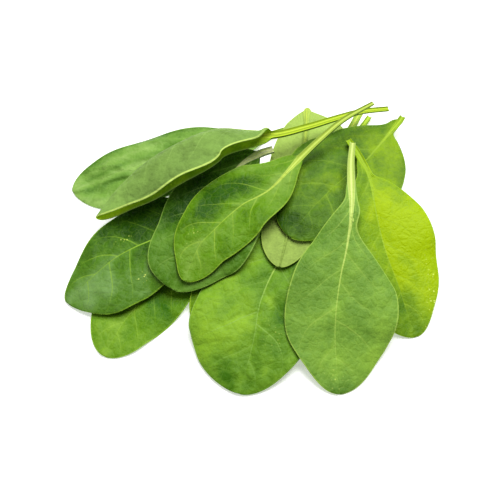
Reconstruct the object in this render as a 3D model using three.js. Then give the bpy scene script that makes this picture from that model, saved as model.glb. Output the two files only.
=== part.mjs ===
// A loose heap of fresh spinach leaves, lying fanned out on a flat surface.
// Every leaf is one solid: a grooved stalk with a cut end, a blade with wavy edges and sunken
// side ribs on its upper face, and a keel under the blade where the midrib runs.
// The leaves are laid down one by one. Each keeps its own shape where it is free, and is lifted
// gently where it lies on the surface or on the leaves below it.
// Millimetres, +Z up. The stalks point to +X +Y, and the tips to -X and -Y.

import * as THREE from 'three';

// Sizes that every leaf shares
const bladeThickness = 0.8;
const tipHalfWidth = 0.9;
const grooveDepth = 0.45; // of the groove along a stalk's upper side

// A keel is this share of its rib's width deep, and shrinks towards the tip by keelTaper
const keelShare = 0.55;
const keelTaper = 0.8;

// Half of a fold is made at the midrib, and the rest within about this distance of it
const creaseLength = 3.5;

// The blade swells between its side ribs, which lean towards the tip
const sideRibs = 7;
const sideRibLean = 0.6;
const puckerHeight = 0.4;

// Waves along each edge, and how far the right edge's waves are behind the left one's
const edgeWaves = 2.3;
const rightEdgeLag = 0.37;

// Where a stalk turns into a blade, along the blade: its section, and the fold of a leaf
const bladeBegins = [-0.02, 0.12];
const foldBegins = [-0.06, 0.06];

// How leaves lie on each other: the gap between them, how far a leaf sags once it touches, and the
// height below which an underside is pressed flat on the surface
const leafGap = 0.65;
const sag = 2.5;
const pressedFlat = 0.5;

// How finely a leaf is divided
const stalkRows = 7;
const bladeRows = 2 * sideRibs;
const halfColumns = 4;
const baseCrowding = 1.25;
const tipCrowding = 1.3;
const columns = 2 * halfColumns + 1;
const columnReach = [0, 0.1, 0.38, 0.72, 1];
const sectionSteps = 12;
const stepsPerSpan = 40;

// Where along the blade the half-widths below are given, from its base (0) to its tip (1)
const widthStations = [0, 0.12, 0.3, 0.5, 0.7, 0.88, 1];

// The leaves, from the surface upwards.
// stalk and rib: points of the midrib line, from the cut end to the blade's base, and on to the tip
// left and right: half-widths of the blade, seen from its base with the upper face up
// stalkWidth: at the blade's base, and at the cut end
// roll: turn about the midrib at base and tip, left side up; fold: how far each half turns up
// cup: bend of each half towards its edge; wave: height of the edge waves; phase: where they begin
// underside: 'up' on a leaf that lies with its ribs on top
// rigidAcross: every row of the leaf is lifted as a whole, as its two halves lie on each other
// passesUnderStalkOf: a leaf laid earlier, whose stalk crosses over this leaf
const leaves = [
  {
    name: 'leaf_low_left',
    colour: 0x8db53c,
    stalk: [[6, 34, 3], [-8, 24, 3], [-20, 9, 3]],
    rib: [[-20, 9, 3], [-31, -10, 2], [-40, -22, 1], [-47, -32, 0.5], [-53, -45, 1]],
    left: [8, 12.5, 15.2, 14, 10.3],
    right: [9, 15, 15.5, 14.5, 9.5],
    stalkWidth: [2.8, 2.2],
    roll: [0, 0],
    fold: [3, 3],
    cup: [-6, -6],
    wave: 1.1,
    phase: 0.2,
  },
  {
    name: 'leaf_hidden',
    colour: 0x6f9a33,
    stalk: [[48, 61, 2], [36, 42, 2], [22, 20, 2]],
    rib: [[22, 20, 2], [12, 2, 2], [4, -16, 2], [-1, -33, 1.5], [-2, -52, 1]],
    left: [9, 17, 21, 22, 19.5],
    right: [9, 17, 22, 23, 14],
    stalkWidth: [2.8, 2],
    roll: [0, 0],
    fold: [2, 2],
    cup: [-4, -4],
    wave: 0.8,
    phase: 0.6,
  },
  {
    name: 'leaf_back_left',
    colour: 0x6b9a2f,
    stalk: [[29, 58, 3], [16, 55, 4], [5, 51, 5]],
    rib: [[5, 51, 5], [-20, 45, 6], [-37, 39, 6], [-51, 34, 5], [-69, 26, 2]],
    left: [8, 15, 17, 16.5, 13.3],
    right: [6.5, 10.5, 12.5, 11.5, 8.5],
    stalkWidth: [2.6, 2],
    roll: [0, 0],
    fold: [4, 2],
    cup: [-14, -22],
    wave: 0.8,
    phase: 0.1,
  },
  {
    name: 'leaf_left',
    colour: 0x3f6f24,
    stalk: [[14, 28, 6], [-1, 19, 7], [-17, 9, 7]],
    rib: [[-17, 9, 7], [-37, 1, 7], [-50, -6, 6], [-60, -15, 4], [-68, -23, 1]],
    left: [12, 17.5, 20.5, 20, 15.8],
    right: [13.5, 18.8, 15.4, 11, 6.5],
    stalkWidth: [3, 2.4],
    roll: [0, 0],
    fold: [6, 6],
    cup: [-16, -12],
    wave: 1,
    phase: 0.45,
  },
  {
    name: 'leaf_low_middle',
    colour: 0x5f9a2c,
    stalk: [[44, 61, 3], [33, 39, 3], [19, 15, 4]],
    rib: [[19, 15, 4], [12, -5, 6], [4, -25, 6], [1, -42, 4], [-4, -60, 1]],
    left: [9, 17, 21, 20, 13],
    right: [10, 17, 22, 24.5, 19],
    stalkWidth: [3.2, 2.8],
    roll: [0, 0],
    fold: [3, 3],
    cup: [-12, -14],
    wave: 1.4,
    phase: 0.3,
  },
  {
    name: 'leaf_turned',
    colour: 0xb9cf86,
    stalk: [[23, 62.8, 4.5], [22.9, 62.2, 4.8], [22.7, 61.6, 5]],
    rib: [[22.7, 61.6, 5], [22.3, 54, 7], [20, 32, 9], [16, 10, 10], [11, -12, 9]],
    left: [15.5, 13, 12, 11, 8],
    right: [8.5, 12.5, 12.5, 11.5, 9],
    stalkWidth: [3, 3],
    roll: [0, 0],
    fold: [-4, -4],
    cup: [6, 6],
    wave: 0.8,
    phase: 0.7,
    underside: 'up',
  },
  {
    name: 'leaf_back_right',
    colour: 0x4f8226,
    stalk: [[60.8, 58.4, 9], [60.2, 57.3, 9], [59.4, 55.8, 9]],
    rib: [[59.4, 55.8, 9], [54.4, 47.9, 11], [45, 35, 12], [35, 25, 13], [23, 11.5, 13], [15, 0, 12]],
    left: [2.2, 15.5, 21.5, 18.5, 12],
    right: [7, 19, 23, 20, 13],
    stalkWidth: [2.6, 2.4],
    roll: [0, 0],
    fold: [4, 2],
    cup: [-16, -16],
    wave: 1.2,
    phase: 0.5,
  },
  {
    name: 'leaf_under_middle',
    colour: 0x35621f,
    stalk: [[9, 40, 13], [6, 39, 13], [3, 37.5, 13]],
    rib: [[3, 37.5, 13], [-4, 32, 13], [-14, 13.5, 13], [-19, 1.5, 13], [-24, -8.5, 11], [-28, -20.5, 8]],
    left: [9, 18, 21, 20.5, 14],
    right: [8, 14.5, 17, 16, 13],
    stalkWidth: [3.2, 3],
    roll: [0, 0],
    fold: [6, 8],
    cup: [-10, -10],
    wave: 1,
    phase: 0.9,
  },
  {
    name: 'leaf_right',
    colour: 0x7fb82c,
    stalk: [[38, 42.5, 13.5], [40.5, 38, 13.3], [42.5, 33.5, 13]],
    rib: [
      [42.5, 33.5, 13], [45.5, 26.5, 12.5], [47.5, 10.5, 11.5], [51, -6, 9], [55, -17.5, 6.5],
      [58, -28, 4], [61, -37, 2],
    ],
    left: [2.4, 17.5, 19.8, 17, 10.3],
    right: [5.5, 10.5, 12.5, 13, 11],
    stalkWidth: [2.8, 2.4],
    roll: [0, 0],
    fold: [10, 18],
    cup: [-20, -6],
    wave: 0.9,
    phase: 0.15,
  },
  {
    name: 'leaf_middle',
    colour: 0x4c7d28,
    stalk: [[47.9, 55, 26.5], [36, 48, 25], [26, 39, 23.5], [19, 32, 22]],
    rib: [[19, 32, 22], [8, 19, 21], [-4, 11, 20], [-13, 2, 18.5], [-19, -5, 17], [-24, -18, 14]],
    left: [5, 10, 13.5, 12.5, 9.5],
    right: [9, 15.5, 16.5, 13.5, 7],
    stalkWidth: [2.9, 1.6],
    roll: [4, 0],
    fold: [8, 8],
    cup: [-12, -16],
    wave: 0.8,
    phase: 0.35,
  },
  {
    name: 'leaf_front',
    colour: 0x5c8a33,
    stalk: [[39.4, 38, 18.5], [38.4, 29, 18], [38.2, 19.5, 17]],
    rib: [
      [38.2, 19.5, 17], [38, 9, 16], [36, -5.5, 14], [33, -19, 11.5], [31, -34.5, 8], [31, -45, 5],
      [32, -60, 2],
    ],
    left: [3, 7, 21.5, 22, 14],
    right: [4.4, 12.5, 17.5, 18.5, 11],
    stalkWidth: [3.3, 2.3],
    roll: [0, 0],
    fold: [8, 8],
    cup: [-18, -14],
    wave: 1,
    phase: 0.75,
  },
  {
    name: 'leaf_folded',
    colour: 0x7c9a63,
    stalk: [[55, 60.1, 11], [43.5, 57.2, 13], [33, 52.4, 15], [22, 47, 17], [8, 42.5, 18]],
    rib: [[8, 42.5, 18], [-13, 43.8, 18], [-26, 39, 17], [-38, 32, 15], [-49.4, 22, 11], [-58.5, 10.5, 6]],
    left: [8, 13.5, 16, 14, 8.5],
    right: [11.5, 19.5, 21, 19, 11.5],
    stalkWidth: [3, 2],
    roll: [0, 0],
    fold: [3, 168],
    cup: [-8, 0],
    wave: 0.9,
    phase: 0.05,
    rigidAcross: true,
    passesUnderStalkOf: 'leaf_middle',
  },
];

// A smooth value between given ones, at equal or unequal stations
function smoothBetween(stations, values, where) {
  let k = 0;
  while (k < stations.length - 2 && where > stations[k + 1]) {
    k += 1;
  }
  const slope = (i) => {
    const before = Math.max(i - 1, 0);
    const after = Math.min(i + 1, stations.length - 1);
    return (values[after] - values[before]) / (stations[after] - stations[before]);
  };
  const span = stations[k + 1] - stations[k];
  const f = (where - stations[k]) / span;
  const hold = (1 + 2 * f) * (1 - f) ** 2 * values[k] + f * f * (3 - 2 * f) * values[k + 1];
  return hold + span * (f * (1 - f) ** 2 * slope(k) - f * f * (1 - f) * slope(k + 1));
}

// Half-width of one side of the blade. Squares are blended, which rounds the tip like an ellipse.
function bladeHalfWidth(leaf, side, along) {
  const given = side > 0 ? leaf.left : leaf.right;
  const edges = [leaf.stalkWidth[0] / 2, ...given, tipHalfWidth];
  const square = smoothBetween(widthStations, edges.map((width) => width * width), along);
  return Math.sqrt(Math.max(square, tipHalfWidth ** 2));
}

// How far the blade's section has turned up at a distance from the midrib
function turnAt(distance, reach, fold, cup) {
  return fold * (1 - 0.5 * Math.exp(-distance / creaseLength)) + cup * reach;
}

// How far out and up a point lies that is this far from the midrib, along the blade's section
function acrossBlade(distance, halfWidth, fold, cup) {
  let out = 0;
  let up = 0;
  for (let k = 0; k < sectionSteps; k += 1) {
    const walked = ((k + 0.5) / sectionSteps) * distance;
    const turned = turnAt(walked, walked / halfWidth, fold, cup);
    out += (Math.cos(turned) * distance) / sectionSteps;
    up += (Math.sin(turned) * distance) / sectionSteps;
  }
  return [out, up];
}

// The midrib line: a place and the directions along, to the left and up, at any row of the leaf.
// A row below 0 is on the stalk (-1 is the cut end), and one from 0 to 1 is on the blade.
function midribOf(leaf) {
  const points = [...leaf.stalk, ...leaf.rib.slice(1)].map((p) => new THREE.Vector3(...p));
  const curve = new THREE.CatmullRomCurve3(points);
  curve.arcLengthDivisions = stepsPerSpan * (points.length - 1);
  const lengths = curve.getLengths();
  const whole = lengths[lengths.length - 1];
  const base = lengths[stepsPerSpan * (leaf.stalk.length - 1)] / whole;
  return (row) => {
    const share = row < 0 ? base * (1 + row) : base + (1 - base) * row;
    const u = Math.min(Math.max(share, 0), 1);
    const forward = curve.getTangentAt(u);
    const level = new THREE.Vector3(0, 0, 1).cross(forward).normalize();
    const lift = forward.clone().cross(level);
    const turn = leaf.roll[0] + (leaf.roll[1] - leaf.roll[0]) * Math.max(row, 0);
    const roll = THREE.MathUtils.degToRad(turn);
    const toLeft = level.clone().multiplyScalar(Math.cos(roll)).addScaledVector(lift, Math.sin(roll));
    return { place: curve.getPointAt(u), toLeft, up: forward.clone().cross(toLeft) };
  };
}

// How much of a blade there is at a row: 0 on the stalk, 1 past the blade's base
function bladeShare(row) {
  return THREE.MathUtils.smoothstep(row, ...bladeBegins);
}

// Half-width of the stalk at a row, which also sets the size of the midrib
function stalkHalfWidth(leaf, row) {
  const [atBase, atEnd] = leaf.stalkWidth;
  return (atBase + (atEnd - atBase) * Math.max(-row, 0)) / 2;
}

// How thick the leaf is at a point, on the side of its ribs and on its flat upper side
function thicknesses(leaf, along, onBlade, reach, distance) {
  const share = bladeShare(along);
  const stalkHalf = stalkHalfWidth(leaf, along);
  const ribHalf = stalkHalf * (1 - keelTaper * onBlade);
  const keel = 2 * keelShare * ribHalf * Math.max(0, 1 - distance / ribHalf);
  const stalkBelow = 2 * keelShare * stalkHalf * Math.sqrt(Math.max(0, 1 - reach * reach));
  const groove = grooveDepth * (1 - reach * reach);
  const ribSide = bladeThickness / 2 + keel * share + stalkBelow * (1 - share);
  const flatSide = bladeThickness / 2 - groove * (1 - share);
  return [ribSide, flatSide];
}

// One point of the leaf's middle surface, with how thick the leaf is above and below it
function middlePoint(leaf, midrib, row, across) {
  const side = across < 0 ? -1 : 1;
  const reach = Math.abs(across);
  const onBlade = 1 - (1 - Math.max(row, 0) ** baseCrowding) ** tipCrowding;
  const along = row < 0 ? row : onBlade + sideRibLean * reach * onBlade * (1 - onBlade);
  const share = bladeShare(along);
  const { place, toLeft, up } = midrib(along);
  const stalkHalf = stalkHalfWidth(leaf, along);
  const bladeHalf = along < 0 ? 0 : bladeHalfWidth(leaf, side, along);
  const halfWidth = Math.max(bladeHalf, stalkHalf * (1 - Math.max(along, 0)));
  const distance = reach * halfWidth;
  const folded = THREE.MathUtils.smoothstep(along, ...foldBegins);
  const fold = THREE.MathUtils.degToRad(leaf.fold[side > 0 ? 0 : 1]) * folded;
  const cup = THREE.MathUtils.degToRad(leaf.cup[side > 0 ? 0 : 1]) * share;
  const [out, rise] = acrossBlade(distance, halfWidth, fold, cup);
  const inward = Math.sqrt(Math.sin(Math.PI * Math.min(Math.max(along, 0), 1)));
  const lag = side > 0 ? 0 : rightEdgeLag;
  const edgeWave = inward * Math.sin(2 * Math.PI * (edgeWaves * along + leaf.phase + lag));
  const pucker = Math.cos(2 * Math.PI * sideRibs * Math.max(row, 0)) * 4 * reach * (1 - reach);
  const wave = share * (leaf.wave * reach * reach * edgeWave - puckerHeight * pucker * (1 - along));
  const turned = turnAt(distance, reach, fold, cup);
  const point = place.clone();
  point.addScaledVector(toLeft, side * (out - wave * Math.sin(turned)));
  point.addScaledVector(up, rise + wave * Math.cos(turned));
  const [ribSide, flatSide] = thicknesses(leaf, along, onBlade, reach, distance);
  const ribsOnTop = leaf.underside === 'up';
  return { point, above: ribsOnTop ? ribSide : flatSide, below: ribsOnTop ? flatSide : ribSide };
}

// The grid of the leaf's middle surface, row by row from the cut end to the tip
function middleGrid(leaf) {
  const midrib = midribOf(leaf);
  const grid = [];
  for (let i = 0; i <= stalkRows + bladeRows; i += 1) {
    const row = i < stalkRows ? i / stalkRows - 1 : (i - stalkRows) / bladeRows;
    const share = bladeShare(row);
    const line = [];
    for (let j = -halfColumns; j <= halfColumns; j += 1) {
      const even = j / halfColumns;
      const crowded = columnReach[Math.abs(j)] * Math.sign(j);
      line.push(middlePoint(leaf, midrib, row, even + (crowded - even) * share));
    }
    grid.push(line);
  }
  return grid;
}

// Heights of the heap so far, on a square grid over the surface that it lies on
const cell = 0.5;
const fieldHalf = 100;
const fieldSide = (2 * fieldHalf) / cell;
const cornerSlack = 0.02;

function paintHeights(field, positions, triangles) {
  const corner = (index) => positions[index];
  for (const triangle of triangles) {
    const [a, b, c] = triangle.map(corner);
    const area = (b.x - a.x) * (c.y - a.y) - (b.y - a.y) * (c.x - a.x);
    if (area === 0) {
      continue;
    }
    const first = (low) => Math.floor((low + fieldHalf) / cell);
    const [x0, x1] = [first(Math.min(a.x, b.x, c.x)), first(Math.max(a.x, b.x, c.x)) + 1];
    const [y0, y1] = [first(Math.min(a.y, b.y, c.y)), first(Math.max(a.y, b.y, c.y)) + 1];
    for (let yi = y0; yi <= y1; yi += 1) {
      for (let xi = x0; xi <= x1; xi += 1) {
        const x = xi * cell - fieldHalf;
        const y = yi * cell - fieldHalf;
        const wb = ((x - a.x) * (c.y - a.y) - (y - a.y) * (c.x - a.x)) / area;
        const wc = ((b.x - a.x) * (y - a.y) - (b.y - a.y) * (x - a.x)) / area;
        if (wb >= -cornerSlack && wc >= -cornerSlack && wb + wc <= 1 + cornerSlack) {
          const height = a.z + wb * (b.z - a.z) + wc * (c.z - a.z);
          const at = yi * fieldSide + xi;
          field[at] = Math.max(field[at], height);
        }
      }
    }
  }
}

function heightBelow(field, x, y) {
  const xi = Math.round((x + fieldHalf) / cell);
  const yi = Math.round((y + fieldHalf) / cell);
  let highest = -Infinity;
  for (let dy = -1; dy <= 1; dy += 1) {
    for (let dx = -1; dx <= 1; dx += 1) {
      highest = Math.max(highest, field[(yi + dy) * fieldSide + xi + dx]);
    }
  }
  return highest;
}

// A spot inside one cell of the grid: its place, how thick the leaf is below it, and how much each
// of the cell's corners counts there
function spotInCell(grid, i, j, fi, fj) {
  const weights = [(1 - fi) * (1 - fj), (1 - fi) * fj, fi * (1 - fj), fi * fj];
  const corners = [[i, j], [i, j + 1], [i + 1, j], [i + 1, j + 1]];
  const place = new THREE.Vector3();
  let below = 0;
  corners.forEach(([ci, cj], k) => {
    place.addScaledVector(grid[ci][cj].point, weights[k]);
    below += weights[k] * grid[ci][cj].below;
  });
  return { place, below, weights, corners };
}

// Lays a leaf down: it is let down until it rests, and sags a little further under its own weight.
// It is raised again where it would pass through what lies below, and the raise is spread out, so
// that the blade bends over an edge as a crisp leaf does.
const layingRounds = 160;
const spread = 0.985;
const samples = [0, 0.25, 0.5, 0.75];

function layDown(leaf, grid, field) {
  const rows = grid.length;
  const raise = grid.map((line) => line.map(() => 0));
  const spots = [];
  for (let i = 0; i < rows - 1; i += 1) {
    for (let j = 0; j < columns - 1; j += 1) {
      for (const fi of samples) {
        for (const fj of samples) {
          const spot = spotInCell(grid, i, j, fi, fj);
          spot.least = heightBelow(field, spot.place.x, spot.place.y) + spot.below;
          spots.push(spot);
        }
      }
    }
  }
  const clearance = Math.min(...spots.map((spot) => spot.place.z - spot.least));
  for (const spot of spots) {
    spot.place.z -= clearance + sag;
  }
  for (let round = 0; round < layingRounds; round += 1) {
    const before = raise.map((line) => line.slice());
    for (let i = 0; i < rows; i += 1) {
      for (let j = 0; j < columns; j += 1) {
        const up = before[Math.max(i - 1, 0)][j] + before[Math.min(i + 1, rows - 1)][j];
        const beside = before[i][Math.max(j - 1, 0)] + before[i][Math.min(j + 1, columns - 1)];
        raise[i][j] = (spread * (up + beside)) / 4;
      }
    }
    for (const { place, least, weights, corners } of spots) {
      const raised = corners.reduce((sum, [ci, cj], k) => sum + weights[k] * raise[ci][cj], 0);
      const need = least - place.z - raised;
      if (need > 0) {
        const square = weights.reduce((sum, weight) => sum + weight * weight, 0);
        corners.forEach(([ci, cj], k) => {
          raise[ci][cj] += (need * weights[k]) / square;
        });
      }
    }
    for (let i = 0; i < rows; i += 1) {
      if (i <= stalkRows || leaf.rigidAcross) {
        raise[i].fill(Math.max(...raise[i]));
      }
    }
  }
  grid.forEach((line, i) => line.forEach((node, j) => {
    node.point.z += raise[i][j] - clearance - sag;
  }));
}

// The closed surface round the middle grid: an upper face, a lower face and the rim between them.
// Both faces are split into triangles along the same diagonals.
function closeLeaf(grid) {
  const rows = grid.length;
  const positions = [];
  const within = (value, count) => Math.min(Math.max(value, 0), count - 1);
  const at = (i, j) => grid[within(i, rows)][within(j, columns)].point;
  for (const face of [1, -1]) {
    for (let i = 0; i < rows; i += 1) {
      for (let j = 0; j < columns; j += 1) {
        const forward = at(i + 1, j).clone().sub(at(i - 1, j));
        const toLeft = at(i, j + 1).clone().sub(at(i, j - 1));
        const normal = forward.cross(toLeft).normalize();
        const node = grid[i][j];
        const point = node.point.clone().addScaledVector(normal, face > 0 ? node.above : -node.below);
        point.z = face < 0 && point.z < pressedFlat ? 0 : point.z;
        positions.push(point);
      }
    }
  }
  const index = (face, i, j) => face * rows * columns + i * columns + j;
  const triangles = [];
  const quad = (a, b, c, d) => triangles.push([a, b, c], [a, c, d]);
  for (let i = 0; i < rows - 1; i += 1) {
    for (let j = 0; j < columns - 1; j += 1) {
      quad(index(0, i, j), index(0, i + 1, j), index(0, i + 1, j + 1), index(0, i, j + 1));
      triangles.push([index(1, i, j), index(1, i + 1, j + 1), index(1, i + 1, j)]);
      triangles.push([index(1, i, j), index(1, i, j + 1), index(1, i + 1, j + 1)]);
    }
  }
  const last = rows - 1;
  const edge = columns - 1;
  for (let i = 0; i < last; i += 1) {
    quad(index(0, i, 0), index(1, i, 0), index(1, i + 1, 0), index(0, i + 1, 0));
    quad(index(0, i + 1, edge), index(1, i + 1, edge), index(1, i, edge), index(0, i, edge));
  }
  for (let j = 0; j < edge; j += 1) {
    quad(index(0, 0, j + 1), index(1, 0, j + 1), index(1, 0, j), index(0, 0, j));
    quad(index(0, last, j), index(1, last, j), index(1, last, j + 1), index(0, last, j + 1));
  }
  return { positions, triangles };
}

// The heap: every leaf is laid on the surface and on those before it
const group = new THREE.Group();
const laid = [];
for (const leaf of leaves) {
  const field = new Float64Array(fieldSide * fieldSide).fill(0);
  for (const lower of laid) {
    const onBlade = ([corner]) => corner % lower.faceSize >= stalkRows * columns;
    const underStalk = leaf.passesUnderStalkOf === lower.name;
    const kept = underStalk ? lower.triangles.filter(onBlade) : lower.triangles;
    const raised = lower.positions.map((p) => new THREE.Vector3(p.x, p.y, p.z + leafGap));
    paintHeights(field, raised, kept);
  }
  const grid = middleGrid(leaf);
  layDown(leaf, grid, field);
  const { positions, triangles } = closeLeaf(grid);
  laid.push({ name: leaf.name, positions, triangles, faceSize: grid.length * columns });
  const geometry = new THREE.BufferGeometry();
  const numbers = positions.flatMap((p) => [p.x, p.y, p.z]);
  geometry.setAttribute('position', new THREE.Float32BufferAttribute(numbers, 3));
  geometry.setIndex(triangles.flat());
  const material = new THREE.MeshStandardMaterial({ color: leaf.colour, roughness: 0.5, metalness: 0 });
  const mesh = new THREE.Mesh(geometry, material);
  mesh.name = leaf.name;
  group.add(mesh);
}

// The origin is under the middle of the heap, on the surface that it lies on
const box = new THREE.Box3().setFromObject(group);
const middle = box.getCenter(new THREE.Vector3());
group.position.set(-middle.x, -middle.y, -box.min.z);

export default group;
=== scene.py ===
import bpy
import math
import numpy as np
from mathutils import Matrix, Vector, noise
from mathutils.bvhtree import BVHTree


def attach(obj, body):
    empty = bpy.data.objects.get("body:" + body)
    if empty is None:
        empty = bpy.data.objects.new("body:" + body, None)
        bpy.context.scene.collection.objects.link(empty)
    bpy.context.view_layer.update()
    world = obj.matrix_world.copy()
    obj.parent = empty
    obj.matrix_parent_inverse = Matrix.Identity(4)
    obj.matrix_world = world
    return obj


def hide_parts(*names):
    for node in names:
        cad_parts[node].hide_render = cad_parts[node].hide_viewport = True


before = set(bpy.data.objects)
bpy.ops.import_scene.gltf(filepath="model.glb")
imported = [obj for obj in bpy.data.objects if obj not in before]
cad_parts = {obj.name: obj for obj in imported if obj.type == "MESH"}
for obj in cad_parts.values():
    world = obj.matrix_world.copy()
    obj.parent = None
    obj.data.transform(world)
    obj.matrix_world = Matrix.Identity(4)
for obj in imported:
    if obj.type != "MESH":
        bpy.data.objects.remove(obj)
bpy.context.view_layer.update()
bpy.ops.object.select_all(action="DESELECT")

# The view of the heap
# The camera looks down on the heap from the front, steeply, from a little over half a metre. The
# picture's middle lies where the heap was moved to, in millimetres, to have its box round the origin.
MM = 0.001
heap_shift = np.array((-0.53, -1.76, 0.0))
picture_middle = Vector(heap_shift) * MM
view_height = math.radians(60)
view_distance = 0.528

bpy.ops.object.camera_add(rotation=(math.pi / 2 - view_height, 0, 0))
camera = bpy.context.object
towards_camera = Vector((0, -math.cos(view_height), math.sin(view_height)))
camera.location = picture_middle + towards_camera * view_distance
camera.data.lens = 100
camera.data.sensor_width = 36
camera.data.clip_start = 0.01
bpy.context.scene.camera = camera
bpy.context.scene.view_settings.view_transform = "Standard"

# The white surface and the light
# The heap lies on a plain white surface that glows a little, like a light table. A large soft light
# hangs over its far side, and the white room fills the shadows.
bpy.ops.mesh.primitive_plane_add(size=3)
floor = bpy.context.object
floor.name = "white_surface"
white = bpy.data.materials.new("white_surface")
white.use_nodes = True
white_shader = white.node_tree.nodes["Principled BSDF"]
white_shader.inputs["Base Color"].default_value = (0.9, 0.9, 0.9, 1)
white_shader.inputs["Roughness"].default_value = 0.7
white_shader.inputs["Emission Color"].default_value = (1, 1, 1, 1)
white_shader.inputs["Emission Strength"].default_value = 0.4
floor.data.materials.append(white)

for name, place, side, power in (
    ("overhead_light", (0.16, 0.42, 0.8), 0.7, 12),
    ("left_light", (-0.7, -0.1, 0.6), 0.4, 1.2),
):
    bpy.ops.object.light_add(type="AREA", location=place)
    lamp = bpy.context.object
    lamp.name = name
    lamp.data.size = side
    lamp.data.energy = power
    lamp.rotation_euler = (-Vector(place)).to_track_quat("-Z", "Y").to_euler()

room = bpy.data.worlds.new("white_room")
room.use_nodes = True
room.node_tree.nodes["Background"].inputs["Color"].default_value = (1, 1, 1, 1)
room.node_tree.nodes["Background"].inputs["Strength"].default_value = 0.17
bpy.context.scene.world = room

# Lowest leaf at the left
# A young yellow-green leaf that lies flat on the surface, with its stalk under the heap. Every leaf
# grew in the same way, so what grows a leaf and what colours it stand here. Lengths are in
# millimetres and angles in degrees.

# What each leaf shares with its solid
width_stations = np.array((0, 0.12, 0.3, 0.5, 0.7, 0.88, 1))
blade_start = (-0.02, 0.12)
fold_start = (-0.06, 0.06)
tip_half_width = 0.5
crease_length = 3.5
crease_share = 0.5
base_crowding = 1.25
tip_crowding = 1.3
side_rib_lean = 0.6
edge_waves = 2.3
right_edge_offset = 0.37
rib_taper = 0.8
keel_share = 0.55
groove_depth = 0.45
solid_ribs = 7
solid_stalk_rows = 7
solid_columns = np.array((-1, -0.72, -0.38, -0.1, 0, 0.1, 0.38, 0.72, 1))
solid_pucker = 0.4
solid_thickness = 0.8

# What the leaf has of its own
thickness = 0.5
resting_height = 0.04
side_veins = 6
vein_slant = 0.26
vein_curve = 0.35
vein_closing = 0.4
vein_wander = 0.03
vein_stagger = 0.4
vein_valley = 1.4
midrib_valley = 1.8
pillow_level = 0.6
rim_thinning = 0.45
rim_width = 1.2
rib_left_over = 0.12
rib_fade = 0.16


def smooth_between(stations, values, where):
    """A smooth value between given ones, at every place of the array where."""
    last = len(stations) - 1
    k = np.clip(np.searchsorted(stations, where, side="left") - 1, 0, last - 1)
    before = np.clip(np.arange(last + 1) - 1, 0, last)
    after = np.clip(np.arange(last + 1) + 1, 0, last)
    slope = (values[after] - values[before]) / (stations[after] - stations[before])
    span = stations[k + 1] - stations[k]
    f = (where - stations[k]) / span
    hold = (1 + 2 * f) * (1 - f) ** 2 * values[k] + f * f * (3 - 2 * f) * values[k + 1]
    return hold + span * (f * (1 - f) ** 2 * slope[k] - f * f * (1 - f) * slope[k + 1])


def ease(low, high, x):
    """0 below low, 1 above high, and smooth between."""
    t = np.clip((x - low) / (high - low), 0, 1)
    return t * t * (3 - 2 * t)


def midrib_line(stalk, rib):
    """The midrib as close points, how far along it each lies, and how far along the blade begins."""
    points = np.array(list(stalk) + list(rib)[1:], float)
    ends = np.vstack([2 * points[0] - points[1], points, 2 * points[-1] - points[-2]])
    per_span = 40
    spans = []
    for k in range(len(points) - 1):
        p0, p1, p2, p3 = ends[k:k + 4]
        d0, d1, d2 = (math.sqrt(np.linalg.norm(b - a)) for a, b in ((p0, p1), (p1, p2), (p2, p3)))
        out = d1 * ((p1 - p0) / d0 - (p2 - p0) / (d0 + d1) + (p2 - p1) / d1)
        into = d1 * ((p2 - p1) / d1 - (p3 - p1) / (d1 + d2) + (p3 - p2) / d2)
        t = np.linspace(0, 1, per_span, endpoint=False)[:, None]
        bend = (3 * (p2 - p1) - 2 * out - into) * t ** 2 + (2 * (p1 - p2) + out + into) * t ** 3
        spans.append(p1 + out * t + bend)
    line = np.vstack(spans + [points[-1:]])
    walked = np.concatenate([[0], np.cumsum(np.linalg.norm(np.diff(line, axis=0), axis=1))])
    return line, walked, walked[per_span * (len(stalk) - 1)]


def unit(vectors):
    """The vectors at a length of 1."""
    return vectors / np.linalg.norm(vectors, axis=-1, keepdims=True)


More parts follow.
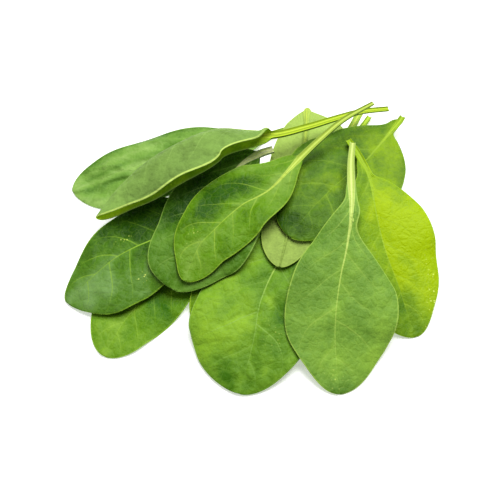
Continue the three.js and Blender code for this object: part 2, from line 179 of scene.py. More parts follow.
def leaf_form(shape, row, across, thick, pucker=0.0):
    """The leaf as it grew: rows run from the cut end (-1) over the blade's base (0) to the tip (1), and
    across from the right edge (-1) to the left one (1). Gives the middle surface, how thick the leaf is
    above and below it, and what else the veins and the colours need."""
    line, walked, base = midrib_line(shape["stalk"], shape["rib"])
    reach = np.abs(across)
    left = across >= 0
    run = 1 - (1 - np.clip(row, 0, 1) ** base_crowding) ** tip_crowding
    along = np.where(row < 0, row, run + side_rib_lean * reach * run * (1 - run))
    blade = ease(*blade_start, along)

    # The midrib, and the directions along it, to the left and up
    far = np.where(along < 0, base * (1 + along), base + (walked[-1] - base) * along)
    heading = np.gradient(line, walked, axis=0)
    place = np.stack([np.interp(far, walked, line[:, k]) for k in range(3)], -1)
    forward = unit(np.stack([np.interp(far, walked, heading[:, k]) for k in range(3)], -1))
    level = unit(np.cross([0, 0, 1], forward))
    at_base, at_tip = shape.get("roll", (0, 0))
    roll = np.radians(at_base + (at_tip - at_base) * np.clip(along, 0, 1))[..., None]
    to_left = level * np.cos(roll) + np.cross(forward, level) * np.sin(roll)
    up = np.cross(forward, to_left)

    # The width of each half
    at_base, at_end = shape["stalk_width"]
    stalk_half = (at_base + (at_end - at_base) * np.clip(-along, 0, 1)) / 2
    halves = []
    for edge in (shape["left"], shape["right"]):
        widths = np.array((at_base / 2, *edge, tip_half_width))
        halves.append(smooth_between(width_stations, widths ** 2, np.clip(along, 0, 1)))
    blade_half = np.sqrt(np.maximum(np.where(left, *halves), tip_half_width ** 2))
    half_width = np.where(along < 0, stalk_half, np.maximum(blade_half, stalk_half * (1 - along)))
    distance = reach * half_width

    # Each half leaves the midrib at the fold's angle and turns by the cup's angle out to its edge.
    fold = np.radians(np.where(left, *shape["fold"])) * ease(*fold_start, along)
    cup = np.radians(np.where(left, *shape["cup"])) * blade
    steps = 12
    out = 0
    rise = 0
    for k in range(steps):
        part = (k + 0.5) / steps * distance
        turned = fold * (1 - crease_share * np.exp(-part / crease_length)) + cup * part / half_width
        out = out + np.cos(turned) * distance / steps
        rise = rise + np.sin(turned) * distance / steps

    # The waves of the edge, and the swellings between the ribs of a solid
    inward = np.sqrt(np.sin(np.pi * np.clip(along, 0, 1)))
    wave_count = edge_waves * along + shape["phase"] + np.where(left, 0, right_edge_offset)
    edge_wave = inward * np.sin(2 * np.pi * wave_count)
    puckers = np.cos(2 * np.pi * solid_ribs * np.clip(row, 0, 1)) * 4 * reach * (1 - reach) * (1 - along)
    wave = blade * (shape["wave"] * reach ** 2 * edge_wave - pucker * puckers)
    turned = fold * (1 - crease_share * np.exp(-distance / crease_length)) + cup * reach
    sideways = np.where(left, 1, -1) * (out - wave * np.sin(turned))
    middle = place + to_left * sideways[..., None] + up * (rise + wave * np.cos(turned))[..., None]

    # The midrib is a keel under the blade, and the stalk is round below and grooved above.
    rib_half = stalk_half * (1 - rib_taper * run)
    keel = 2 * keel_share * rib_half * np.clip(1 - distance / rib_half, 0, None)
    stalk_below = 2 * keel_share * stalk_half * np.sqrt(np.clip(1 - reach ** 2, 0, None))
    groove = groove_depth * (1 - reach ** 2)
    rib_side = thick / 2 + keel * blade + stalk_below * (1 - blade)
    flat_side = thick / 2 - groove * (1 - blade)
    above, below = (rib_side, flat_side) if shape.get("underside_up") else (flat_side, rib_side)
    return {"middle": middle, "above": above, "below": below, "along": along, "run": run, "blade": blade,
            "reach": reach, "distance": distance, "half_width": half_width, "stalk_half": stalk_half}


def facing(middle):
    """The direction that each point of a grid of points faces."""
    return unit(np.cross(np.gradient(middle, axis=0), np.gradient(middle, axis=1)))


def lift_in_heap(name, shape, row, across):
    """How far the heap holds the leaf up at each point. The leaf's solid lies where the leaf came to
    rest, so it is felt from above, or from below on a leaf that is folded over itself."""
    just_inside_ends = 0.98
    just_inside_edges = 0.95
    steepest = 0.5
    feeler_start = 90
    flap_reaches = 0.3
    held_by_stalk = 0.15
    rib_columns = 0.2
    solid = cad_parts[name].data
    tree = BVHTree.FromPolygons([v.co for v in solid.vertices], [p.vertices for p in solid.polygons])
    blade_rows = 2 * solid_ribs
    rows = np.concatenate([np.arange(solid_stalk_rows) / solid_stalk_rows - 1,
                           np.arange(blade_rows + 1) / blade_rows])
    felt_rows, felt_columns = np.meshgrid(np.clip(rows, -just_inside_ends, just_inside_ends),
                                          solid_columns * just_inside_edges, indexing="ij")
    form = leaf_form(shape, felt_rows, felt_columns, solid_thickness, solid_pucker)
    tilt = np.clip(np.abs(facing(form["middle"])[..., 2]), steepest, 1)
    from_below = shape.get("folded_over", False)
    towards = 1 if from_below else -1
    reach_out = form["below"] if from_below else -form["above"]
    lift = np.full(felt_rows.shape, np.nan)
    for at in np.ndindex(*felt_rows.shape):
        x, y, z = form["middle"][at] + heap_shift
        if from_below and felt_columns[at] < flap_reaches:
            continue
        hit = tree.ray_cast(Vector((x, y, -feeler_start * towards)) * MM, Vector((0, 0, towards)))[0]
        if hit is not None:
            lift[at] = hit.z / MM + reach_out[at] / tilt[at] - z

    # A place that wasn't felt takes the lift of its row, and so do the stalk and the whole folded leaf.
    found = np.isfinite(lift).any(axis=1)
    per_row = np.array([np.nanmedian(line) if ok else 0 for line, ok in zip(lift, found)])
    count = np.arange(len(rows))
    per_row = np.interp(count, count[found], per_row[found])
    lift = np.where(np.isfinite(lift), lift, per_row[:, None])
    whole = rows < held_by_stalk
    if from_below:
        whole[:] = True
    lift[whole] = per_row[whole, None]
    by_rib = np.abs(solid_columns) < rib_columns
    lift[:, by_rib] = lift[:, by_rib].mean(axis=1, keepdims=True)
    by_column = [smooth_between(rows, lift[:, k], row[:, 0]) for k in range(len(solid_columns))]
    return np.stack([smooth_between(solid_columns, line, across[0]) for line in np.stack(by_column, 1)])


def patches(form, across, spots):
    """The sum of soft spots, each at a place along and across the blade, with its size and strength."""
    total = np.zeros_like(across)
    for along, sideways, long_size, wide_size, strength in spots:
        off = ((form["run"] - along) / long_size) ** 2 + ((across - sideways) / wide_size) ** 2
        total += strength * np.exp(-off)
    return total


def grow_leaf(name, shape, crinkle=0.3, relief=0.25, seed=0, blotches_and_painted_light=(), dew_glints=()):
    """One leaf: a sheet that is shaped along its midrib, thickened, and rounded at its rim. It swells by
    relief between its side veins and crinkles at random. It has lighter and darker patches, partly its own
    blotches and partly painted sheen and painted shade, and places where dew gets painted glints."""
    stalk_rows = shape["stalk_steps"]
    blade_rows = 76
    half_columns = 23
    column_crowding = 1.35
    row = np.concatenate([np.arange(stalk_rows) / stalk_rows - 1, np.arange(blade_rows + 1) / blade_rows])
    even = np.linspace(-1, 1, 2 * half_columns + 1)
    row, across = np.meshgrid(row, np.sign(even) * np.abs(even) ** column_crowding, indexing="ij")
    form = leaf_form(shape, row, across, thickness)
    middle = form["middle"] + heap_shift
    middle[..., 2] += lift_in_heap(name, shape, row, across)
    normal = facing(middle)

    # Random wandering of the veins, and crinkles of two sizes
    wander = np.zeros_like(row)
    swell = np.zeros_like(row)
    wander_size = 14
    finer, finest = 1.7, 3.9
    own_place = Vector((seed * 7.1, seed * 3.3, 0))
    apart = Vector((0, 0, 9))
    for at in np.ndindex(*row.shape):
        spot = Vector(form["middle"][at] / wander_size) + own_place
        wander[at] = noise.noise(spot)
        swell[at] = noise.noise(spot * finer + apart) + 0.5 * noise.noise(spot * finest)

    # The side veins leave the midrib slantwise and turn towards the tip. A vein lies where the count is
    # whole, and the gap between two veins follows from how fast the count grows over the blade.
    reach = form["reach"]
    along = form["along"]
    slant = along - vein_slant * (reach + vein_curve * reach ** 3) * (1 - vein_closing * along)
    slant = slant + vein_wander * wander
    count = side_veins * slant + np.where(across < 0, vein_stagger, 0)
    row_step = np.gradient(middle, axis=0)
    column_step = np.gradient(middle, axis=1)
    row_square = (row_step ** 2).sum(-1)
    mixed = (row_step * column_step).sum(-1)
    column_square = (column_step ** 2).sum(-1)
    by_row = np.gradient(side_veins * slant, axis=0)
    by_column = np.gradient(side_veins * slant, axis=1)
    growth = column_square * by_row ** 2 - 2 * mixed * by_row * by_column + row_square * by_column ** 2
    growth = growth / np.maximum(row_square * column_square - mixed * mixed, 1e-6)
    narrowest_gap, widest_gap = 1, 40
    vein_gap = np.clip(1 / np.sqrt(np.maximum(growth, 1e-4)), narrowest_gap, widest_gap)
    from_vein = np.abs(count - np.round(count)) * vein_gap

    # Between the veins the blade swells, less so near its edge and its tip, and its rim is thinner.
    flat_rim = 3
    flat_tip = 0.1
    margin = (1 - reach) * form["half_width"]
    inner = form["blade"] * ease(0, flat_rim, margin) * ease(0, flat_tip, 1 - along)
    pillow = 1 - np.exp(-from_vein / vein_valley) * (1 - reach)
    pillow = pillow * (1 - np.exp(-form["distance"] / midrib_valley))
    over = -1 if shape.get("underside_up") else 1
    middle += normal * (inner * (over * relief * (pillow - pillow_level) + crinkle * swell))[..., None]
    taper = 1 - rim_thinning * form["blade"] * (1 - ease(0, rim_width, margin))
    above = facing(middle) * (form["above"] * taper)[..., None]
    below = facing(middle) * (form["below"] * taper)[..., None]
    faces = np.stack([middle + above, middle - below])
    faces[..., 2] = np.maximum(faces[..., 2], resting_height)

    # A flat grid takes the upper face's form, gets a second face under it, and is rounded at its rim.
    narrowing = rib_left_over + (1 - rib_left_over) * np.exp(-form["run"] / rib_fade)
    rows, columns = row.shape
    bpy.ops.mesh.primitive_grid_add(x_subdivisions=rows - 1, y_subdivisions=columns - 1, size=2)
    leaf = bpy.context.object
    leaf.name = name.replace("leaf", "spinach")
    mesh = leaf.data
    flat = np.zeros(len(mesh.vertices) * 3)
    mesh.vertices.foreach_get("co", flat)
    flat = flat.reshape(-1, 3)
    i = np.rint((flat[:, 0] + 1) / 2 * (rows - 1)).astype(int)
    j = np.rint((flat[:, 1] + 1) / 2 * (columns - 1)).astype(int)
    mesh.vertices.foreach_set("co", faces[0, i, j].ravel() * MM)
    # Values per point for the colours. Among them are the tone patches, partly the leaf's own blotches and
    # partly painted sheen and painted shade, and where dew drops get painted glints.
    values = {
        "run": np.where(row < 0, row, form["run"]), "across": across, "blade": form["blade"],
        "midrib": form["distance"], "margin": margin, "vein_count": count, "vein_gap": vein_gap,
        "blotches_and_painted_light": patches(form, across, blotches_and_painted_light), "dew_glints": patches(form, across, dew_glints), "swell": swell,
        "rib_half": form["stalk_half"] * narrowing,
    }
    for key, value in values.items():
        mesh.attributes.new(key, "FLOAT", "POINT").data.foreach_set("value", value[i, j].astype(np.float32))
    wall = leaf.modifiers.new("wall", "SOLIDIFY")
    wall.thickness = thickness * MM
    wall.offset = -1
    bpy.ops.object.modifier_apply(modifier="wall")
    mesh.vertices.foreach_set("co", faces[:, i, j].ravel() * MM)
    upper = np.repeat(np.array((0, 1) if shape.get("underside_up") else (1, 0), np.float32), rows * columns)
    mesh.attributes.new("upper", "FLOAT", "POINT").data.foreach_set("value", upper)
    run = np.zeros(len(mesh.vertices), np.float32)
    mesh.attributes["run"].data.foreach_get("value", run)
    crease = mesh.attributes.new("crease_edge", "FLOAT", "EDGE")
    cut_end = -0.999
    cut_sharpness = 0.9
    for edge in mesh.edges:
        if all(run[v] < cut_end for v in edge.vertices):
            crease.data[edge.index].value = cut_sharpness
    rounded = leaf.modifiers.new("rounded", "SUBSURF")
    rounded.levels = 1
    rounded.render_levels = 1
    bpy.ops.object.modifier_apply(modifier="rounded")
    bpy.ops.object.shade_smooth()
    bpy.ops.object.select_all(action="DESELECT")
    return leaf


class Wire:
    """One output among a material's nodes. Arithmetic on it adds Math nodes."""

    def __init__(self, tree, output=None):
        self.tree = tree
        self.output = output

    def node(self, kind, settings, inputs, give=0):
        """Adds a node, sets it up, fills its sockets, and gives one of its outputs."""
        made = self.tree.nodes.new("ShaderNode" + kind)
        for key, value in settings.items():
            setattr(made, key, value)
        for key, value in inputs.items():
            if isinstance(value, Wire):
                self.tree.links.new(value.output, made.inputs[key])
            else:
                made.inputs[key].default_value = value
        return Wire(self.tree, made.outputs[give])

    def math(self, operation, *values):
        return self.node("Math", {"operation": operation}, dict(enumerate(values)))

    def __add__(self, other):
        return self.math("ADD", self, other)

    def __sub__(self, other):
        return self.math("SUBTRACT", self, other)

    def __rsub__(self, other):
        return self.math("SUBTRACT", other, self)

    def __mul__(self, other):
        return self.math("MULTIPLY", self, other)

    def __truediv__(self, other):
        return self.math("DIVIDE", self, other)

    __radd__ = __add__
    __rmul__ = __mul__

    def limit(self):
        return self.math("MINIMUM", self.math("MAXIMUM", self, 0), 1)

    def step(self, low, high):
        """0 at low, 1 at high, and smooth between. High may lie below low."""
        return self.node("MapRange", {"interpolation_type": "SMOOTHSTEP"},
                         {"Value": self, "From Min": low, "From Max": high})

    def blend(self, first, second):
        """Goes from the first colour to the second as this value goes from 0 to 1."""
        return self.node("Mix", {"data_type": "RGBA"}, {0: self, 6: first, 7: second}, 2)


def colour(red, green, blue):
    """A colour as it looks on a screen, in 0 to 255, as the light that it gives back."""
    shares = [value / 255 for value in (red, green, blue)]
    return tuple(c / 12.92 if c < 0.04045 else ((c + 0.055) / 1.055) ** 2.4 for c in shares) + (1,)


def brighter(shade, times):
    """The colour made brighter, or darker where times is below 1."""
    return tuple(min(times * c, 1) for c in shade[:3]) + (1,)


def colour_leaf(leaf, node, deep, mid, bright, vein, stalk, under, seed, furrow_shade=None, furrow_turn=0.0,
                veins=1.0, net=0.1, crumple=1.5, crumple_along=(1, 1, 1), halves=0.0, rim_highlight=0.0,
                light_through=0.0):
    """Gives a leaf its green, from deep over mid to bright, with veins, a thin pale rim that is partly a
    painted highlight, and a pale underside. The stalk goes from the furrow's colour, which is painted
    shade, to its own, and its furrows lie furrow_turn round it. The strength of the veins, of the fine net
    between them and of the small folds (crumple) can be set. The left half is painted brighter than the
    right one by halves, for light that comes through it. An underside can have a painted highlight along
    its rim, and a blade in the shade can glow a little, painted light for light that comes through it."""
    material = bpy.data.materials.new(leaf.name)
    material.use_nodes = True
    tree = material.node_tree
    shader = tree.nodes["Principled BSDF"]
    kit = Wire(tree)

    def of(name):
        return kit.node("Attribute", {"attribute_name": name}, {}, "Fac")

    # Mottling, grain, small folds and the cells of the net, whose lines are a little bent: how many of
    # each fit in a metre, and how far a line is bent
    mottles, fine_mottles, grains, small_folds = 95, 330, 1100, 130
    wide_meshes, narrow_meshes, bends = 330, 1000, 260
    most_bend = 0.0022
    place = kit.node("TexCoord", {}, {}, "Object")
    mottle = kit.node("TexNoise", {"noise_dimensions": "4D"},
                      {"Vector": place, "W": seed, "Scale": mottles, "Detail": 3, "Roughness": 0.55})
    grain = kit.node("TexNoise", {}, {"Vector": place, "Scale": grains, "Detail": 2})
    folds = kit.node("TexNoise", {"noise_dimensions": "4D"}, {
        "Vector": kit.node("VectorMath", {"operation": "MULTIPLY"}, {0: place, 1: crumple_along}),
        "W": seed + 5, "Scale": small_folds, "Detail": 1, "Roughness": 0.5, "Distortion": 0.8})
    fine_mottle = kit.node("TexNoise", {"noise_dimensions": "4D"},
                           {"Vector": place, "W": seed, "Scale": fine_mottles, "Detail": 3, "Roughness": 0.6})
    bent = kit.node("VectorMath", {"operation": "MULTIPLY_ADD"}, {
        0: kit.node("TexNoise", {}, {"Vector": place, "Scale": bends, "Detail": 1}, "Color"),
        1: (most_bend, most_bend, most_bend), 2: place})
    to_edge = {"feature": "DISTANCE_TO_EDGE"}
    cells = kit.node("TexVoronoi", to_edge, {"Vector": bent, "Scale": wide_meshes})
    small_cells = kit.node("TexVoronoi", to_edge, {"Vector": bent, "Scale": narrow_meshes})

    # The midrib, the side veins, each with a strength of its own, and the net between them
    run, blade, upper, across = of("run"), of("blade"), of("upper"), of("across")
    reach = across.math("ABSOLUTE", across)
    count = of("vein_count")
    nearest = count.math("ROUND", count)
    from_vein = (count - nearest).math("ABSOLUTE", count - nearest) * of("vein_gap")
    luck = kit.node("TexWhiteNoise", {"noise_dimensions": "1D"}, {"W": nearest * 1.37 + seed}, "Value")
    before_tip = 1 - run.limit()
    from_midrib = of("midrib")
    midrib = (from_midrib / of("rib_half")).step(1.15, 0.6) * before_tip.step(0.0, 0.25)
    vein_half_width = 0.38 - reach * 0.2
    side = (from_vein / vein_half_width).step(1.2, 0.1) * reach.step(1.0, 0.3)
    side = side * before_tip.step(0.02, 0.2) * (0.3 + luck * 0.7)
    mesh_lines = (cells.step(0.06, 0.0) + small_cells.step(0.1, 0.0) * 0.7) * blade * net
    glow = from_vein.step(2.2, 0.0) * 0.1 * reach.step(1.0, 0.2) + from_midrib.step(3.5, 0.0) * 0.15

    # The upper face
    # The lighter and darker patches are partly the leaf's own blotches and partly painted sheen and painted
    # shade. The green is painted lighter where the crinkles swell out, a painted highlight.
    tone = 0.5 + (mottle - 0.5) * 0.9 + of("blotches_and_painted_light") + of("swell") * 0.2 + glow + (grain - 0.5) * 0.3
    # Painted light: one half of the blade is painted brighter than the other by halves, for light that comes
    # through that half.
    tone = tone + (across.step(-0.02, 0.02) - 0.5) * before_tip.step(0.05, 0.3) * halves
    tone = tone + (fine_mottle - 0.5) * 0.5
    green = (tone * 2).limit().blend(deep, mid)
    green = (tone * 2 - 1).limit().blend(green, bright)
    green = ((side * 0.55 + mesh_lines) * veins).limit().blend(green, vein)

    # The underside
    # The underside takes the same patches: the leaf's own blotches, painted sheen and painted shade.
    under_tone = 0.5 + (mottle - 0.5) * 1.4 + (fine_mottle - 0.5) * 0.9 + of("blotches_and_painted_light") + (grain - 0.5) * 0.5
    under_green = under_tone.limit().blend(brighter(under, 0.62), brighter(under, 1.25))
    under_green = ((side * 0.5 + mesh_lines * 2) * veins).limit().blend(under_green, vein)
    green = upper.step(0.4, 0.6).blend(under_green, green)

    # The stalk, whose furrows run on into the midrib. The furrows take a darker colour, painted shade in the
    # grooves.
    furrow_crowding = 7
    turn = across.math("SIGN", across) * from_midrib / of("rib_half") * furrow_crowding + furrow_turn
    ridges = turn.math("COSINE", turn) * 0.5 + 0.5
    rib_green = (ridges * 0.8 + grain * 0.4).limit().blend(furrow_shade or vein, stalk)
    rib_green = run.step(0.05, 0.6).blend(rib_green, vein)
    green = (midrib * (0.3 + 0.7 * run.step(0.9, 0.3)) * (0.4 + 0.6 * veins)).limit().blend(green, rib_green)

    # The thin rims, by millimetres from the edge, paler and partly a painted highlight; a painted highlight
    # along the rim of an underside; and the painted glints of dew drops
    rim_highlight_colour = colour(185, 212, 105)
    dew_glint_colour = colour(215, 232, 110)
    dew_glints_per_metre = 780
    # Painted highlight: the rim is paler than the blade, partly its own pale edge and partly a highlight
    # where the thin edge catches the light.
    pale_edge_and_highlight = of("margin").step(0.7, 0.15) * blade
    green = (pale_edge_and_highlight * 0.55).blend(green, brighter(vein, 1.15))
    # Painted highlight: a pale strip along the rim of the underside, where the rolled edge catches the light.
    rim_highlight_mask = of("margin").step(1.15, 0.6) * (1 - upper) * blade * rim_highlight
    green = rim_highlight_mask.blend(green, rim_highlight_colour)
    # Painted glints: small pale dots where dew lies, standing in for the light that dew drops catch.
    dew_glint_cells = kit.node("TexVoronoi", {}, {"Vector": place, "Scale": dew_glints_per_metre})
    dew_glint_mask = (dew_glint_cells.step(0.3, 0.12) * of("dew_glints")).limit()
    green = dew_glint_mask.blend(green, dew_glint_colour)

    # The fine relief, and the satin of the upper face
    satin = 0.45
    sheen = 0.08
    height = cells.step(0.0, 0.3) * 0.3 + small_cells.step(0.0, 0.35) * 0.12
    height = height + grain * 0.12 + fine_mottle * 0.35
    height = (height + folds * crumple * 2) * blade + ridges * (1 - blade) * 0.6
    bump = kit.node("Bump", {}, {"Strength": 0.7, "Distance": 0.0005, "Height": height})
    roughness = satin + (mottle - 0.5) * 0.15 + (1 - upper) * 0.18
    tree.links.new(green.output, shader.inputs["Base Color"])
    tree.links.new(roughness.output, shader.inputs["Roughness"])
    tree.links.new(bump.output, shader.inputs["Normal"])
    # Painted light: the upper face of the blade glows in its own green by light_through, standing in for
    # light that comes through the leaf.
    through = (upper * blade).blend((0, 0, 0, 1), green)
    tree.links.new(through.output, shader.inputs["Emission Color"])
    shader.inputs["Emission Strength"].default_value = light_through
    shader.inputs["Specular IOR Level"].default_value = sheen
    leaf.data.materials.append(material)
    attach(leaf, "root")
    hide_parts(node)


low_left = grow_leaf(
    "leaf_low_left",
    dict(
        stalk=((6, 34, 3), (-8, 24, 3), (-20, 9, 3)),
        rib=((-20, 9, 3), (-31, -10, 2), (-40, -22, 1), (-47, -32, 0.5), (-53, -45, 1)),
        left=(8, 12.5, 15.2, 14, 10.3), right=(9, 15, 15.5, 14.5, 9.5),
        stalk_width=(2.8, 2.2), stalk_steps=20,
        fold=(3, 3), cup=(-6, -6), wave=1.1, phase=0.2,
    ),
    crinkle=0.2, relief=0.2, seed=1, blotches_and_painted_light=((0.5, 0.3, 0.14, 0.9, -0.4), (0.75, -0.2, 0.2, 0.6, 0.1)),
)
colour_leaf(low_left, "leaf_low_left", deep=colour(48, 100, 0), mid=colour(94, 140, 18),
            bright=colour(132, 172, 50), vein=colour(150, 190, 60), stalk=colour(160, 195, 60),
            under=colour(140, 175, 80), seed=1)

# Leaf under the bottom middle one
# It is almost wholly hidden: only a strip at its left edge and its blunt tip show.
hidden = grow_leaf(
    "leaf_hidden",
    dict(
        stalk=((48, 61, 2), (36, 42, 2), (22, 20, 2)),
        rib=((22, 20, 2), (12, 2, 2), (4, -16, 2), (-1, -33, 1.5), (-2, -52, 1)),
        left=(9, 17, 21, 22, 19.5), right=(9, 17, 22, 23, 14),
        stalk_width=(2.8, 2), stalk_steps=30,
        fold=(2, 2), cup=(-4, -4), wave=0.8, phase=0.6,
    ),
    crinkle=0.15, relief=0.15, seed=2,
)
colour_leaf(hidden, "leaf_hidden", deep=colour(45, 90, 0), mid=colour(80, 125, 5),
            bright=colour(130, 165, 10), vein=colour(165, 200, 60), stalk=colour(190, 215, 70),
            under=colour(140, 175, 80), seed=2)

# Crinkled leaf at the upper left
# It reaches furthest left. Its upper face is up, and the folded leaf covers its stalk.
back_left = grow_leaf(
    "leaf_back_left",
    dict(
        stalk=((29, 58, 3), (16, 55, 4), (5, 51, 5)),
        rib=((5, 51, 5), (-20, 45, 6), (-37, 39, 6), (-51, 34, 5), (-69, 26, 2)),
        left=(8, 15, 17, 16.5, 13.3), right=(6.5, 10.5, 12.5, 11.5, 8.5),
        stalk_width=(2.6, 2), stalk_steps=16,
        fold=(4, 2), cup=(-14, -22), wave=0.8, phase=0.1,
    ),
    crinkle=0.7, relief=0.7, seed=3,
    blotches_and_painted_light=((0.85, 0.75, 0.2, 0.3, 0.3), (0.35, 0.1, 0.2, 0.5, -0.3), (0.5, -0.95, 0.6, 0.1, -0.35),
           (0.7, -0.2, 0.3, 0.1, -0.3), (0.6, -0.55, 0.3, 0.12, 0.2), (0.8, 0.2, 0.15, 0.1, -0.3)),
)
colour_leaf(back_left, "leaf_back_left", deep=colour(55, 102, 14), mid=colour(114, 156, 62),
            bright=colour(152, 186, 98), vein=colour(145, 182, 90), stalk=colour(195, 215, 70),
            under=colour(140, 175, 90), seed=3, crumple=6.5, crumple_along=(0.5, 1, 1), veins=0.7)

# Dark leaf at the left
# An older, darker leaf with a grey sheen, partly painted into its colour, and a clear midrib.
dark_left = grow_leaf(
    "leaf_left",
    dict(
        stalk=((14, 28, 6), (-1, 19, 7), (-17, 9, 7)),
        rib=((-17, 9, 7), (-37, 1, 7), (-50, -6, 6), (-60, -15, 4), (-68, -23, 1)),
        left=(12, 17.5, 20.5, 20, 15.8), right=(13.5, 18.8, 15.4, 11, 6.5),
        stalk_width=(3, 2.4), stalk_steps=20,
        fold=(6, 6), cup=(-16, -12), wave=1, phase=0.45,
    ),
    crinkle=0.3, relief=0.4, seed=4,
    # The dark patch at its upper side near the base is painted shade under the folded leaf, and the light
    # patches towards the tip are painted sheen.
    blotches_and_painted_light=((0.3, -0.6, 0.25, 0.5, -0.5), (0.36, 0, 0.13, 0.35, -0.45), (0.7, 0.3, 0.2, 0.35, 0.2),
           (0.9, 0.1, 0.2, 0.8, 0.25)),
    dew_glints=((0.43, 0.64, 0.03, 0.06, 2.5), (0.45, -0.3, 0.04, 0.1, 0.8)),
)
colour_leaf(dark_left, "leaf_left", deep=colour(32, 72, 0), mid=colour(78, 122, 28),
            bright=colour(112, 150, 80), vein=colour(140, 180, 50), stalk=colour(150, 190, 70),
            under=colour(120, 160, 80), seed=4, crumple=2)

# Bright leaf at the bottom middle
# A crinkled leaf with yellow-green blotches. Its long stalk runs under the heap to the upper right.
low_middle = grow_leaf(
    "leaf_low_middle",
    dict(
        stalk=((44, 61, 3), (33, 39, 3), (19, 15, 4)),
        rib=((19, 15, 4), (12, -5, 6), (4, -25, 6), (1, -42, 4), (-4, -60, 1)),
        left=(9, 17, 21, 20, 13), right=(10, 17, 22, 24.5, 19),
        stalk_width=(3.2, 2.8), stalk_steps=32,
        fold=(3, 3), cup=(-12, -14), wave=1.4, phase=0.3,
    ),
    crinkle=0.5, relief=0.55, seed=5,
    blotches_and_painted_light=((0.6, -0.7, 0.3, 0.35, 0.3), (0.51, 0.17, 0.06, 0.1, 0.6), (0.95, 0, 0.12, 0.8, -0.35),
           (0.62, 0.45, 0.3, 0.3, -0.35), (0.42, -0.1, 0.1, 0.3, -0.45), (0.8, 0.5, 0.06, 0.15, 0.4),
           (0.72, 0.12, 0.06, 0.12, -0.3), (0.85, -0.5, 0.08, 0.2, -0.25), (0.6, -0.02, 0.2, 0.04, -0.2),
           (0.58, -0.24, 0.12, 0.2, 0.35)),
    dew_glints=((0.66, 0.35, 0.06, 0.2, 0.35),),
)
colour_leaf(low_middle, "leaf_low_middle", deep=colour(58, 106, 4), mid=colour(104, 148, 34),
            bright=colour(136, 178, 40), vein=colour(140, 180, 80), stalk=colour(200, 215, 80),
            under=colour(150, 185, 85), seed=5, crumple=2.4)

# Pale leaf that lies underside up
# Its matt underside shows at the top of the heap and again in the middle, with the midrib raised.
turned_over = grow_leaf(
    "leaf_turned",
    dict(
        stalk=((23, 62.8, 4.5), (22.9, 62.2, 4.8), (22.7, 61.6, 5)),
        rib=((22.7, 61.6, 5), (22.3, 54, 7), (20, 32, 9), (16, 10, 10), (11, -12, 9)),
        left=(15.5, 13, 12, 11, 8), right=(8.5, 12.5, 12.5, 11.5, 9),
        stalk_width=(3, 3), stalk_steps=4,
        fold=(-4, -4), cup=(6, 6), wave=0.8, phase=0.7, underside_up=True,
    ),
    crinkle=0.2, relief=0.15, seed=6, blotches_and_painted_light=((0.05, 0, 0.25, 2, 0.4),),
)
colour_leaf(turned_over, "leaf_turned", deep=colour(80, 130, 30), mid=colour(110, 155, 45),
            bright=colour(130, 175, 55), vein=colour(165, 192, 85), stalk=colour(185, 205, 70),
            under=colour(146, 172, 80), seed=6, veins=0.6, crumple=1)

# Big leaf behind, at the upper right
# Its blade begins right at the cut, and it reaches under the front leaf.
back_right = grow_leaf(
    "leaf_back_right",
    dict(
        stalk=((60.8, 58.4, 9), (60.2, 57.3, 9), (59.4, 55.8, 9)),
        rib=((59.4, 55.8, 9), (54.4, 47.9, 11), (45, 35, 12), (35, 25, 13), (23, 11.5, 13), (15, 0, 12)),
        left=(2.2, 15.5, 21.5, 18.5, 12), right=(7, 19, 23, 20, 13),
        stalk_width=(2.6, 2.4), stalk_steps=5,
        fold=(4, 2), cup=(-16, -16), wave=1.2, phase=0.5,
    ),
    crinkle=0.3, relief=0.25, seed=7,
    # The two dark patches towards its tip and along its right edge are painted shade where the middle leaf's
    # edge overhangs it.
    blotches_and_painted_light=((0.2, 0.6, 0.25, 0.4, 0.5), (0.97, -0.3, 0.14, 1, -0.6), (0.75, -1, 0.3, 0.2, -0.5)),
)
colour_leaf(back_right, "leaf_back_right", deep=colour(36, 72, 0), mid=colour(82, 121, 26),
            bright=colour(130, 165, 20), vein=colour(125, 162, 40), stalk=colour(170, 200, 50),
            under=colour(130, 170, 80), seed=7)

# Dark leaf under the middle one
# It rings the middle leaf at its left and below, with a light rim, partly a painted highlight, and a white
# cut stalk.
under_middle = grow_leaf(
    "leaf_under_middle",
    dict(
        stalk=((9, 40, 13), (6, 39, 13), (3, 37.5, 13)),
        rib=((3, 37.5, 13), (-4, 32, 13), (-14, 13.5, 13), (-19, 1.5, 13), (-24, -8.5, 11), (-28, -20.5, 8)),
        left=(9, 18, 21, 20.5, 14), right=(8, 14.5, 17, 16, 13),
        stalk_width=(3.2, 3), stalk_steps=6,
        fold=(6, 8), cup=(-10, -10), wave=1, phase=0.9,
    ),
    crinkle=0.35, relief=0.45, seed=8,
    # The dark patch on its upper left side is painted shade between the folded and the middle leaf, and the
    # light patch near its tip is painted light.
    blotches_and_painted_light=((0.36, -0.42, 0.2, 0.45, -0.8), (0.65, -0.6, 0.2, 0.3, 0.25), (0.9, 0.7, 0.12, 0.4, 0.4)),
)
colour_leaf(under_middle, "leaf_under_middle", deep=colour(30, 70, 0), mid=colour(74, 118, 22),
            bright=colour(108, 150, 55), vein=colour(150, 185, 85), stalk=colour(252, 255, 200),
            under=colour(120, 160, 80), furrow_shade=colour(238, 248, 150), seed=8, crumple=3)

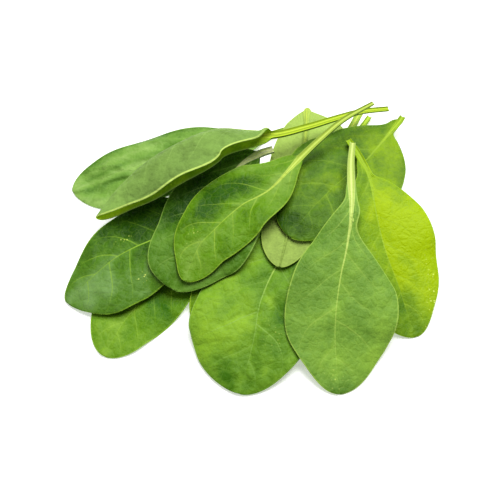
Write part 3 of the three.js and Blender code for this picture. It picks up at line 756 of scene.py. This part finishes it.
# Leaf folded along its midrib, at the right
# Its right half is thin and lets light through, painted as a brighter yellow-green. Dew lies on it, shown as
# painted glints.
right_leaf = grow_leaf(
    "leaf_right",
    dict(
        stalk=((38, 42.5, 13.5), (40.5, 38, 13.3), (42.5, 33.5, 13)),
        rib=((42.5, 33.5, 13), (45.5, 26.5, 12.5), (47.5, 10.5, 11.5), (51, -6, 9), (55, -17.5, 6.5),
             (58, -28, 4), (61, -37, 2)),
        left=(2.4, 17.5, 19.8, 17, 10.3), right=(5.5, 10.5, 12.5, 13, 11),
        stalk_width=(2.8, 2.4), stalk_steps=12,
        fold=(10, 18), cup=(-20, -6), wave=0.9, phase=0.15,
    ),
    crinkle=0.2, relief=0.2, seed=9,
    blotches_and_painted_light=((0.45, 0.65, 0.35, 0.6, 0.3), (0.95, -0.1, 0.14, 1, -0.5), (0.84, 0.17, 0.08, 0.3, -0.3),
           (0.1, 0.6, 0.1, 0.6, -0.3), (0.36, -0.3, 0.2, 0.3, 0.35)),
    dew_glints=((0.73, 0.88, 0.2, 0.16, 1.4), (0.85, 0.6, 0.04, 0.1, 0.7)),
)
colour_leaf(right_leaf, "leaf_right", deep=colour(80, 122, 18), mid=colour(124, 162, 26),
            bright=colour(160, 190, 0), vein=colour(155, 188, 50), stalk=colour(150, 185, 30),
            under=colour(150, 190, 60), seed=9, crumple=0.4, halves=0.55)

# Middle leaf
# The best leaf of the heap, with a clear network of veins. Its long stalk is the highest of all.
middle_leaf = grow_leaf(
    "leaf_middle",
    dict(
        stalk=((47.9, 55, 26.5), (36, 48, 25), (26, 39, 23.5), (19, 32, 22)),
        rib=((19, 32, 22), (8, 19, 21), (-4, 11, 20), (-13, 2, 18.5), (-19, -5, 17), (-24, -18, 14)),
        left=(5, 10, 13.5, 12.5, 9.5), right=(9, 15.5, 16.5, 13.5, 7),
        stalk_width=(2.9, 1.6), stalk_steps=28,
        roll=(4, 0), fold=(8, 8), cup=(-12, -16), wave=0.8, phase=0.35,
    ),
    crinkle=0.3, relief=0.38, seed=10,
    # The light patch at its upper edge is painted sheen.
    blotches_and_painted_light=((0.4, -0.52, 0.2, 0.36, -0.75), (0.25, 0, 0.1, 0.5, 0.35), (0.88, 0.1, 0.15, 1, 0.15),
           (0.5, 0.5, 0.2, 0.3, -0.15), (0.15, -0.8, 0.15, 0.3, 0.25)),
    dew_glints=((0.7, -0.4, 0.05, 0.12, 0.7),),
)
colour_leaf(middle_leaf, "leaf_middle", deep=colour(40, 84, 0), mid=colour(92, 138, 14),
            bright=colour(126, 164, 62), vein=colour(155, 188, 62), stalk=colour(198, 218, 100),
            under=colour(130, 170, 80), furrow_shade=colour(150, 178, 50), seed=10, crumple=1.8)

# Front leaf
# The largest leaf, grey-green, the grey partly painted sheen, with a thick pale stalk and a bright midrib.
front_leaf = grow_leaf(
    "leaf_front",
    dict(
        stalk=((39.4, 38, 18.5), (38.4, 29, 18), (38.2, 19.5, 17)),
        rib=((38.2, 19.5, 17), (38, 9, 16), (36, -5.5, 14), (33, -19, 11.5), (31, -34.5, 8), (31, -45, 5),
             (32, -60, 2)),
        left=(3, 7, 21.5, 22, 14), right=(4.4, 12.5, 17.5, 18.5, 11),
        stalk_width=(3.3, 2.3), stalk_steps=14,
        fold=(8, 8), cup=(-18, -14), wave=1, phase=0.75,
    ),
    crinkle=0.3, relief=0.25, seed=11,
    blotches_and_painted_light=((0.64, 0.85, 0.25, 0.25, 0.4), (0.98, 0, 0.05, 1, -0.45), (0.25, -0.8, 0.1, 0.3, -0.2),
           (0.85, 0, 0.1, 0.6, 0.25)),
    dew_glints=((0.92, -0.2, 0.06, 0.4, 0.55),),
)
colour_leaf(front_leaf, "leaf_front", deep=colour(64, 108, 20), mid=colour(108, 150, 52),
            bright=colour(136, 178, 60), vein=colour(172, 202, 90), stalk=colour(215, 232, 135),
            under=colour(140, 175, 85), furrow_shade=colour(165, 192, 75), seed=11, crumple=1.4)

# Leaf folded lengthwise, on top at the left
# Its two halves lie on each other, and its pale matt underside is out. The midrib is the fold.
folded_leaf = grow_leaf(
    "leaf_folded",
    dict(
        stalk=((55, 60.1, 11), (43.5, 57.2, 13), (33, 52.4, 15), (22, 47, 17), (8, 42.5, 18)),
        rib=((8, 42.5, 18), (-13, 43.8, 18), (-26, 39, 17), (-38, 32, 15), (-49.4, 22, 11), (-58.5, 10.5, 6)),
        left=(8, 13.5, 16, 14, 8.5), right=(11.5, 19.5, 21, 19, 11.5),
        stalk_width=(3, 2), stalk_steps=36,
        fold=(3, 168), cup=(-8, 0), wave=0.9, phase=0.05, folded_over=True,
    ),
    crinkle=0.2, relief=0.2, seed=12,
    # The light patch towards its tip is painted sheen.
    blotches_and_painted_light=((0.08, 0, 0.15, 2, 0.2), (0.92, 0, 0.25, 2, 0.55), (0.5, 0, 0.2, 2, -0.1)),
)
# Its inner face, in the shade of the flap, takes lighter greens and glows a little by light_through, painted
# light; its underside rim gets a painted highlight.
colour_leaf(folded_leaf, "leaf_folded", deep=colour(70, 115, 5), mid=colour(115, 158, 20),
            bright=colour(172, 208, 30), vein=colour(138, 172, 85), stalk=colour(195, 218, 60),
            under=colour(116, 150, 68), furrow_shade=colour(128, 160, 18), furrow_turn=0.9, seed=12, net=0.07,
            veins=1.3, rim_highlight=1.0, crumple=3, light_through=0.14)
